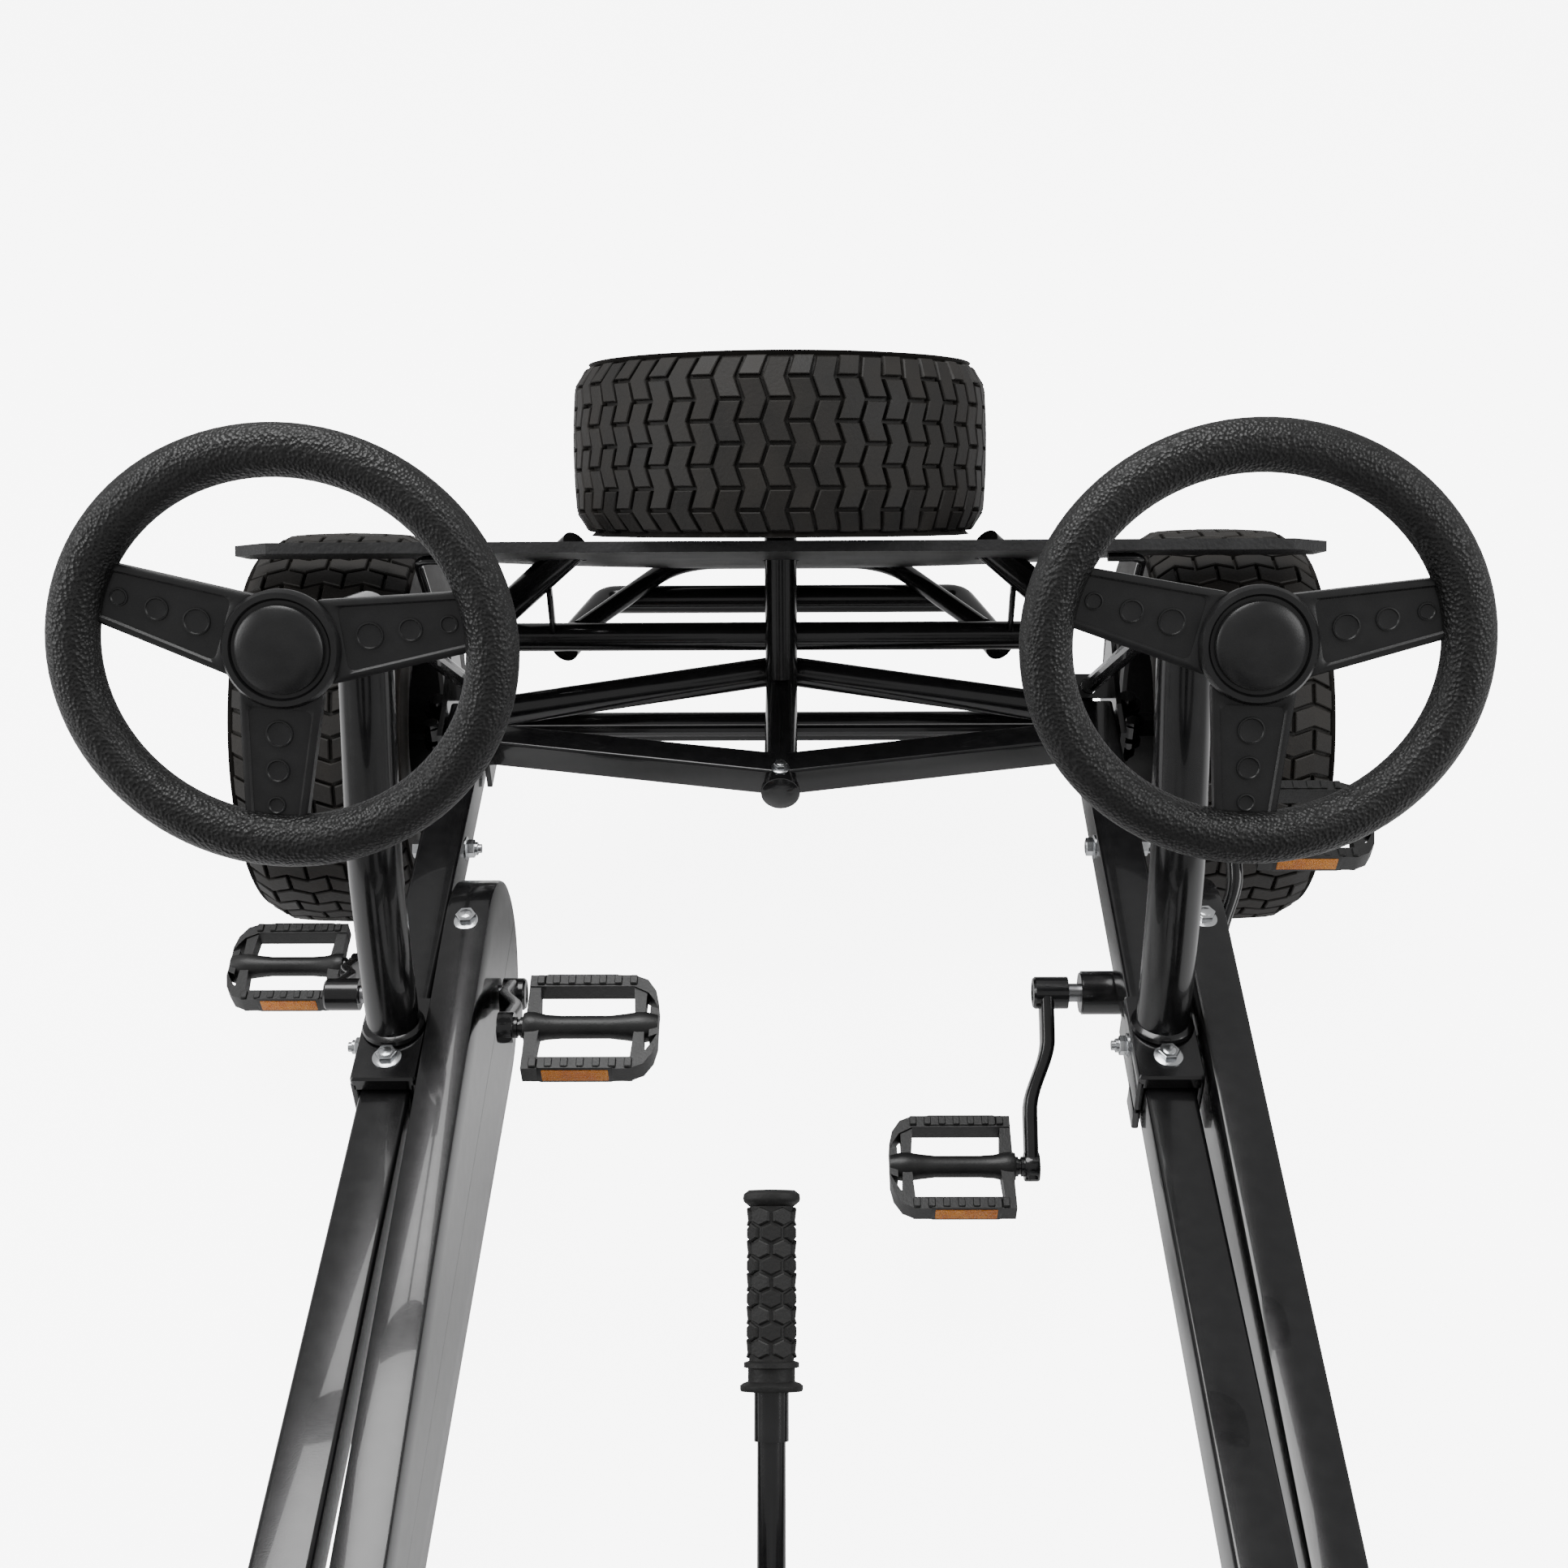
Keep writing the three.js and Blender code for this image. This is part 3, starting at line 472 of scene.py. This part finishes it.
def front_frame():
    tubes("axle_beam", [([at(-329, 0, 200), at(329, 0, 200)], 15)], nodes=["front_axle_beam"])
    tubes("cross_bar", [([at(-280, 40, 285), at(280, 40, 285)], 14.5)], nodes=["cross_tube"])
    axis = Vector((0, math.sin(SPARE_TILT), math.cos(SPARE_TILT)))
    hub = at(*SPARE_AT)
    spindle = [
        ([at(0, -1, 264), at(0, 57, 416)], 16),
        ([at(0, 43.7, 381), at(0, 47.1, 390)], 19),
        ([hub - axis * 0.070, hub - axis * 0.036], 20),
        ([hub - axis * 0.060, hub + axis * 0.044], 9),
    ]
    tubes("post_and_spindle", spindle, nodes=["centre_post"])
    bolt("spindle_nut", hub + axis * 0.0345, axis, size=15, washer=19, height=11)
    hoop = [(-224, 47, 266), (-188, 145, 261), (188, 145, 261), (224, 47, 266)]
    tubes("lower_hoop", [(rounded_route(hoop, 12), 15)], nodes=["bumper_hoop"])
    upper = [(-206, 51, 287.4), (-112, 181, 287.4), (112, 181, 287.4), (206, 51, 287.4)]
    tubes("upper_hoop", [(rounded_route(upper, 42), 9.8)], nodes=["board_support_hoop"])
    for side, s in SIDES:
        strut = [at(s * 286, 51.5, 306), at(s * 200, 28, 402)]
        tubes(f"strut_{side}", [(strut, 15)], nodes=[f"diagonal_strut_{side}"])
        stay = [(s * 306, -52, 436), (s * 339, -52, 436), (s * 339, 4, 302)]
        tubes(f"board_stay_{side}", [(rounded_route(stay, 12), 4.2)])
        gusset = bmesh.new()
        box(gusset, (s * 232 - 2.5, 30, 294), (s * 232 + 2.5, 44, 346), shift())
        finish_mesh(gusset, f"gusset_{side}", PAINT, "frame")


# ---- board ---------------------------------------------------------------
def board():
    """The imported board, with eased edges and its own finish."""
    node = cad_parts["front_board"]
    node.data.materials.clear()
    node.data.materials.append(BOARD)
    eased(node, 0.8)


def eased(node, width):
    bevel = node.modifiers.new("eased", "BEVEL")
    bevel.width = width * MM
    bevel.segments = 2
    bevel.limit_method = "ANGLE"
    bevel.angle_limit = math.radians(32)


def keep(names, material, width):
    """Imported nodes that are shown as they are, painted and with eased edges."""
    for name in names:
        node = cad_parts[name]
        node.data.materials.clear()
        node.data.materials.append(material)
        eased(node, width)


# ---- steering ------------------------------------------------------------
UPPER = Vector((0, math.cos(COLUMN_LEAN), -math.sin(COLUMN_LEAN)))


def steering_post(side, s):
    x = s * UNIT_X
    route = [(x, -503, 279), (x, -494, 335), (x, -470, 431), (x, -447, 474), (x, -398, 560), (x, -388, 585)]
    head = at(x, -395, 602.2)

    def extra(mesh):
        box(mesh, (x - 26, -560, 268.3), (x + 26, -470, 282), shift(), 2)
        for k in (-1, 1):
            low, high = sorted((x + k * 20.4, x + k * 26))
            box(mesh, (low, -560, 240), (high, -470, 276), shift(), 1)
            box(mesh, (low, -560, 222), (high, -530, 246), shift(), 1)
        bead = [(19, 0), (25.5, 0), (24.5, 3), (21, 5.5), (19, 6)]
        lathe(mesh, bead, frame_of(at(x, -502.5, 281.5), Vector((0, 0.12, 1))), 48)

    runs = [
        (smooth_path([at(*p) for p in route], 0.03, 6), 21),
        ([head - UPPER * 0.03, head + UPPER * 0.03], 18),
    ]
    tubes(f"post_{side}", runs, nodes=[f"steering_post_{side}"], extra=extra)
    bolt(f"saddle_bolt_{side}", at(x, -537, 282), Vector((0, 0, 1)), size=8.5, washer=11.5, height=7)
    bolt(f"saddle_nut_{side}", at(x - 26, -506, 261), Vector((-1, 0, 0)), size=8, washer=10, height=7,
         nut=True)
    bolt(f"saddle_head_{side}", at(x + 26, -506, 261), Vector((1, 0, 0)), size=8, washer=10, height=5)


def shafts(side, s):
    x = s * UNIT_X
    hub = at(x, *HUB_YZ)
    joint = at(x, -351, 578)
    reach = (joint - hub).length
    collars = [
        ([hub + UPPER * 0.004, hub + UPPER * (reach - 0.004)], 8),
        ([hub + UPPER * (reach - 0.011), hub + UPPER * (reach - 0.003)], 11),
    ]
    tubes(f"column_{side}", collars, body=f"steering_wheel_{side}", nodes=[f"upper_shaft_{side}"],
          material=STEEL)


def steering_wheel(side, s, turned):
    x = s * UNIT_X
    body = f"steering_wheel_{side}"
    place = frame_of(at(x, *HUB_YZ), -UPPER) @ Matrix.Rotation(math.radians(turned), 4, "Z")
    mesh = bmesh.new()
    loops = []
    for i in range(96):
        a = 2 * math.pi * i / 96
        centre = Vector((133 * math.cos(a), 124 * math.sin(a), 0))
        out = Vector((124 * math.cos(a), 133 * math.sin(a), 0)).normalized()
        loop = []
        for j in range(28):
            b = 2 * math.pi * j / 28
            loop.append(place @ ((centre + out * 17 * math.cos(b) + Vector((0, 0, 16.4 * math.sin(b)))) * MM))
        loops.append(loop)
    rings(mesh, loops, closed_along=True)
    finish_mesh(mesh, f"wheel_rim_{side}", GRAIN, body, [f"steering_wheel_{side}"])

    mesh = bmesh.new()
    for angle in (13, 167, 270):
        spoke(mesh, place @ Matrix.Rotation(math.radians(angle), 4, "Z"), 121 if angle == 270 else 128)
    cup = [(0, -16), (30, -16), (36, -8), (38, 2), (38, 6), (36, 9), (32.5, 9), (31, 7), (0, 7)]
    lathe(mesh, cup, place, 72)
    cap = [(0, 6), (27.5, 6), (28.5, 8), (28, 11), (26, 12.8), (18, 13.8), (0, 14.2)]
    lathe(mesh, cap, place, 72)
    finish_mesh(mesh, f"wheel_spokes_{side}", SPOKE, body)


def spoke(mesh, matrix, reach):
    """A tapered spoke along +X with a raised border and three round bosses."""
    outer = taper(26, reach, 27, 18.5, 3)
    inner = taper(39, reach - 7, 20.5, 13.5, 5)

    def loop(outline, height):
        return [matrix @ Vector((p.x * MM, p.y * MM, height * MM)) for p in outline]

    rings(mesh, [loop(outer, -7), loop(outer, 1.2), loop(shrunk(outer, inner, 0.3), 2.6),
                 loop(shrunk(outer, inner, 0.75), 2.6), loop(inner, 1.2), loop(inner, 0.8)])
    floor = 0.8
    for along, radius in ((0.21, 9.0), (0.53, 7.8), (0.83, 6.0)):
        spot = matrix @ Matrix.Translation(((39 + along * (reach - 46)) * MM, 0, floor * MM))
        ring = [(0, -0.5), (radius, -0.5), (radius - 0.3, 1.1), (radius - 1.1, 1.3), (radius - 1.7, 0.6),
                (radius - 2.4, 0.45), (0, 0.5)]
        lathe(mesh, ring, spot, 36)


def taper(near, far, half_near, half_far, radius):
    """The outline of a tapering bar along +X, its corners rounded, in mm."""
    corners = [Vector((near, -half_near)), Vector((far, -half_far)), Vector((far, half_far)),
               Vector((near, half_near))]
    outline = []
    for i, corner in enumerate(corners):
        before = (corners[i - 1] - corner).normalized() * radius
        after = (corners[(i + 1) % 4] - corner).normalized() * radius
        for k in range(5):
            t = k / 4
            outline.append((corner + before).lerp(corner, t).lerp(corner.lerp(corner + after, t), t))
    return outline


def shrunk(outer, inner, share):
    return [a.lerp(b, share) for a, b in zip(outer, inner)]


# ---- drive and pedals ----------------------------------------------------
CRANK_ANGLES = {("left", "left"): -35, ("left", "right"): 145, ("right", "left"): 218, ("right", "right"): 38}


def crank_frame(unit, side, s):
    """Crank coordinates: X outward, Y along the arm, Z square to both, from the crank axle."""
    x = (1 if unit == "right" else -1) * UNIT_X
    a = math.radians(CRANK_ANGLES[(unit, side)])
    outward = Vector((s, 0, 0))
    along = Vector((0, math.cos(a), math.sin(a)))
    third = Vector((0, -math.sin(a), math.cos(a)))
    made = Matrix((outward, along, third)).transposed().to_4x4()
    made.translation = at(x, *CRANK_YZ)
    return made


def crank_arm(unit, side, s):
    place = crank_frame(unit, side, s)
    mesh = bmesh.new()
    loops = []
    for i in range(25):
        t = i / 24
        y = -4 + 163 * t
        blend = min(1.0, max(0.0, (y - 40) / 62))
        x = 76 + 17 * blend * blend * (3 - 2 * blend)
        wide = 13.5 - 3.5 * t
        section = rounded_rectangle(11.4, 2 * wide, 4, 4)
        loops.append([place @ Vector(((x + p.x) * MM, y * MM, p.y * MM)) for p in section])
    rings(mesh, loops)
    across = Matrix.Rotation(math.radians(90), 4, "Y")
    start = 57.5 if side == "left" else 68
    boss = [(0, start), (14, start), (14, 85.5), (12.5, 87.4), (9, 87.7), (8, 86.8), (0, 86.8)]
    lathe(mesh, boss, place @ across, 40)
    pedal_end = place @ Matrix.Translation((0, CRANK_LENGTH * MM, 0)) @ across
    lathe(mesh, [(0, 86.5), (12, 86.5), (12.6, 88), (12.6, 98), (12, 99.2), (0, 99.2)], pedal_end, 40)
    collar = [(0, 98), (8.5, 98), (8.5, 102), (6.8, 102.5), (6.8, 104), (8.5, 104.5), (8.5, 106.6), (5, 106.8),
              (5, 205), (0, 205)]
    lathe(mesh, collar, pedal_end, 32)
    node = f"crank_arm_{unit}_{side}"
    finish_mesh(mesh, f"arm_{unit}_{side}", PAINT, f"crank_{unit}", [node])


def pedal(unit, side, s):
    a = math.radians(CRANK_ANGLES[(unit, side)])
    x = (1 if unit == "right" else -1) * UNIT_X
    spindle = at(
        x + s * 107,
        CRANK_YZ[0] + CRANK_LENGTH * math.cos(a),
        CRANK_YZ[1] + CRANK_LENGTH * math.sin(a),
    )
    tilt = math.radians(7)
    place = Matrix((Vector((s, 0, 0)), Vector((0, math.cos(tilt), math.sin(tilt))),
                    Vector((0, -math.sin(tilt), math.cos(tilt))))).transposed().to_4x4()
    place.translation = spindle
    mesh = bmesh.new()
    across = Matrix.Rotation(math.radians(90), 4, "Y")
    barrel = [(5.6, 0), (11.5, 0), (12.5, 3), (12, 9), (10, 18), (9.2, 30), (9.2, 68), (10.5, 80), (12, 90),
              (12, 97), (10, 106.5), (0, 106.8), (0, 103), (5.6, 103)]
    lathe(mesh, barrel, place @ across, 36)
    for k in (-1, 1):
        rail = [Vector((2, k * 34.5)), Vector((86, k * 34.5)), Vector((98, k * 28)), Vector((103, k * 20)),
                Vector((106.8, k * 12)), Vector((106.8, k * 17)), Vector((104, k * 30)),
                Vector((97, k * 41)), Vector((86, k * 45.8)), Vector((2, k * 45.8))]
        prism(mesh, rail, -8.5, 8.5, place, 0)
        box(mesh, sorted_low(14, 74, k * 36, k * 46, -9.5), sorted_high(14, 74, k * 36, k * 46, 9.5), place, 1)
        web = [Vector((88, k * 8)), Vector((96, k * 8)), Vector((97, k * 36)), Vector((86, k * 36))]
        prism(mesh, web, -7, 7, place, 0)
        web = [Vector((2, k * 8)), Vector((13, k * 8)), Vector((11, k * 36)), Vector((2, k * 36))]
        prism(mesh, web, -7.5, 7.5, place, 0)
        for i in range(7):
            tooth = 8 + 12.4 * i
            for top in (-1, 1):
                z0, z1 = sorted((top * 8, top * 10.6))
                lows = sorted_low(tooth, tooth + 6, k * 36, k * 45, z0)
                box(mesh, lows, sorted_high(tooth, tooth + 6, k * 36, k * 45, z1), place, 0.8)
    bar = [Vector((100, -15)), Vector((106.8, -12)), Vector((106.8, 12)), Vector((100, 15))]
    prism(mesh, bar, -8, 8, place, 0)
    body = f"pedal_{unit}_{side}"
    finish_mesh(mesh, f"platform_{unit}_{side}", PEDAL, body, [body])
    mesh = bmesh.new()
    for k in (-1, 1):
        y0, y1 = sorted((k * 45.5, k * 46.6))
        box(mesh, (18, y0, -6.5), (70, y1, 6.5), place, 0.4)
    finish_mesh(mesh, f"reflectors_{unit}_{side}", AMBER, body)


def sorted_low(x0, x1, y0, y1, z):
    return (min(x0, x1), min(y0, y1), z)


def sorted_high(x0, x1, y0, y1, z):
    return (max(x0, x1), max(y0, y1), z)


def chain_case(side, s):
    """Nose arc about the crank axle, tail arc about the rear axle, in two covers with a seam between."""
    x = s * UNIT_X
    front, rear = Vector(CRANK_YZ), Vector((-1198, 200))
    lean = math.asin((99 - 40) / (front - rear).length)
    slope = math.atan2(front.y - rear.y, front.x - rear.x)
    for half, sign in (("upper", 1), ("lower", -1)):
        def loop(inset, px):
            points = []
            for centre, radius, a, b in ((front, 99, 0, 90), (rear, 40, 90, 180)):
                for i in range(25):
                    share = i / 24
                    first = slope + sign * (math.radians(a) + (lean if a else 0))
                    last = slope + sign * (math.radians(b) + (lean if b == 90 else 0))
                    t = first + (last - first) * share
                    r = radius - inset
                    seam = sign * 0.4 if not i and not a else 0
                    points.append(centre + Vector((r * math.cos(t), r * math.sin(t) + seam)))
            return [at(px, p.x, p.y) for p in points]

        mesh = bmesh.new()
        low, high = x + 29, x + 66
        skins = [loop(26, low), loop(3, low), loop(0.8, low + 0.8), loop(0, low + 3), loop(0, high - 3),
                 loop(0.8, high - 0.8), loop(3, high), loop(26, high)]
        rings(mesh, skins, caps=True)
        node = f"chain_case_{half}_{side}"
        finish_mesh(mesh, f"case_{half}_{side}", PAINT, "frame", [node])
    bolt(f"case_bolt_{side}", at(x + 47.4, -403, 305), Vector((0, 0, 1)), size=8.5, washer=12, height=7)


def drive(side, s):
    x = s * UNIT_X
    mesh = bmesh.new()
    turn = Matrix.Rotation(math.radians(90), 4, "Y")
    crank = Matrix.Translation(at(x, *CRANK_YZ)) @ turn
    axle = [(0, -57), (8, -57), (8, 45), (65, 45.5), (65, 49.5), (8, 50), (8, 67.5), (0, 67.5)]
    lathe(mesh, axle, crank, 64)
    finish_mesh(mesh, f"crank_spindle_{side}", STEEL, f"crank_{side}", [f"crank_axle_{side}"])


def rear_axle(side, s):
    mesh = bmesh.new()
    tube(mesh, [at(s * 200, -1198, 200), at(s * 587, -1198, 200)], 12.5)
    tube(mesh, [at(s * 586, -1198, 200), at(s * 668, -1198, 200)], 9)
    x = s * UNIT_X + 47.5
    tube(mesh, [at(x - 2, -1198, 200), at(x + 2, -1198, 200)], 29.3)
    hexagon(mesh, frame_of(at(s * 656.5, -1198, 200), Vector((s, 0, 0))), 15, 11)
    node = f"rear_half_axle_{side}"
    finish_mesh(mesh, f"half_axle_{side}", STEEL, f"rear_drive_{side}", [node])


# ---- brake lever ---------------------------------------------------------
def brake():
    pull = math.radians(36.87)
    ahead = Vector((0, math.cos(pull), math.sin(pull)))
    pivot = at(0, -1052, 200)

    def boss(mesh):
        profile = [(5.6, -9), (12.5, -9), (13, -8), (13, 8), (12.5, 9), (5.6, 9)]
        lathe(mesh, profile, frame_of(pivot, Vector((1, 0, 0))), 40)

    runs = [
        ([pivot + ahead * 0.008, pivot + ahead * 0.2], 9),
        ([pivot + ahead * 0.195, pivot + ahead * 0.345], 11),
    ]
    tubes("lever", runs, body="brake", nodes=["brake_lever"], extra=boss)

    place = frame_of(pivot + ahead * 0.225, ahead)
    mesh = bmesh.new()
    core = [(11.2, 0), (19.5, 0), (20, 1), (20, 3.5), (18, 5), (15, 6), (15, 14), (17.6, 14.5), (17.6, 17.5),
            (14.4, 18.5), (14.2, 114), (15.5, 115), (18, 117), (18.6, 119), (18.2, 122), (15, 124.4), (0, 125),
            (0, 121.5), (11.2, 121.5)]
    lathe(mesh, core, place, 64)
    rows, around = 9, 6
    for row in range(rows):
        for k in range(around):
            a = 2 * math.pi * (k + 0.5 * (row % 2)) / around
            knob(mesh, place, a, 26 + row * 10.2)
    finish_mesh(mesh, "grip", GRIP, "brake", ["brake_grip"])


def knob(mesh, place, angle, height):
    """One hexagonal pad standing on the grip's core."""
    def ring(radius, size):
        points = []
        for i in range(6):
            b = math.pi / 3 * (i + 0.5)
            turn = angle + size * 1.12 * math.cos(b) / radius
            points.append(place @ Vector((radius * math.cos(turn) * MM, radius * math.sin(turn) * MM,
                                          (height + size * 0.86 * math.sin(b)) * MM)))
        return points
    rings(mesh, [ring(13.8, 7.2), ring(15.6, 6.8), ring(16.2, 5.8)])


# ---- seats ---------------------------------------------------------------
def seat(side, s):
    """A moulded bucket: one curved sheet, thickened, with raised sides."""
    x = s * UNIT_X
    spine = smooth_path([Vector(p) for p in
                         ((0, -1032, 379), (0, -1115, 350), (0, -1395, 346), (0, -1440, 392), (0, -1547, 832))],
                        60, 9)
    mesh = bmesh.new()
    total = len(spine) - 1
    grid = []
    for i, point in enumerate(spine):
        before, after = spine[max(i - 1, 0)], spine[min(i + 1, total)]
        normal = Vector((0, -(after - before).z, (after - before).y)).normalized()
        normal = -normal if normal.y < 0 and normal.z < 0 else normal
        share = i / total
        lift = 62 * math.sin(math.pi * min(1, max(0, share)) ** 0.9) ** 0.6 + 6
        half = 188 - 14 * max(0, share - 0.75) * 4
        row = []
        for k in range(25):
            u = -1 + k / 12
            rise = lift * max(0.0, abs(u) - 0.6) ** 1.6 / 0.4 ** 1.6
            row.append(Vector((x + u * half, point.y, point.z)) + inward(rise, share))
        grid.append([mesh.verts.new(at(*p)) for p in row])
    for a, b in zip(grid, grid[1:]):
        for i in range(24):
            mesh.faces.new((a[i], a[i + 1], b[i + 1], b[i]))
    body = f"seat_{side}"
    piece = finish_mesh(mesh, f"bucket_{side}", SEAT, body, [body], angle=60)
    shell = piece.modifiers.new("shell", "SOLIDIFY")
    shell.thickness = 0.006
    shell.offset = 0
    soft = piece.modifiers.new("soft", "SUBSURF")
    soft.levels = soft.render_levels = 1


def inward(rise, share):
    """Which way the side walls stand: up from the pan, forward from the back."""
    turn = math.radians(90 - 77 * min(1, max(0, (share - 0.35) / 0.3)))
    return Vector((0, rise * math.cos(turn), rise * math.sin(turn)))


# ---- put together --------------------------------------------------------
studio()
wheels()
brace()
front_frame()
board()
brake()
for side_name, sign in SIDES:
    beam(side_name, sign)
    steering_post(side_name, sign)
    shafts(side_name, sign)
    steering_wheel(side_name, sign, -5 if side_name == "left" else -2)
    chain_case(side_name, sign)
    drive(side_name, sign)
    rear_axle(side_name, sign)
    seat(side_name, sign)
    for pedal_side, outward_sign in SIDES:
        crank_arm(side_name, pedal_side, outward_sign)
        pedal(side_name, pedal_side, outward_sign)
    keep([f"front_cradle_{side_name}", f"knuckle_{side_name}", f"lower_shaft_{side_name}"], PAINT, 1.2)
    keep([f"seat_mount_{side_name}"], PAINT, 1.5)
    keep([f"chain_{side_name}"], STEEL, 0.3)
keep(["rear_cross_member", "mid_cross_tube", "tie_rod"], PAINT, 1.2)
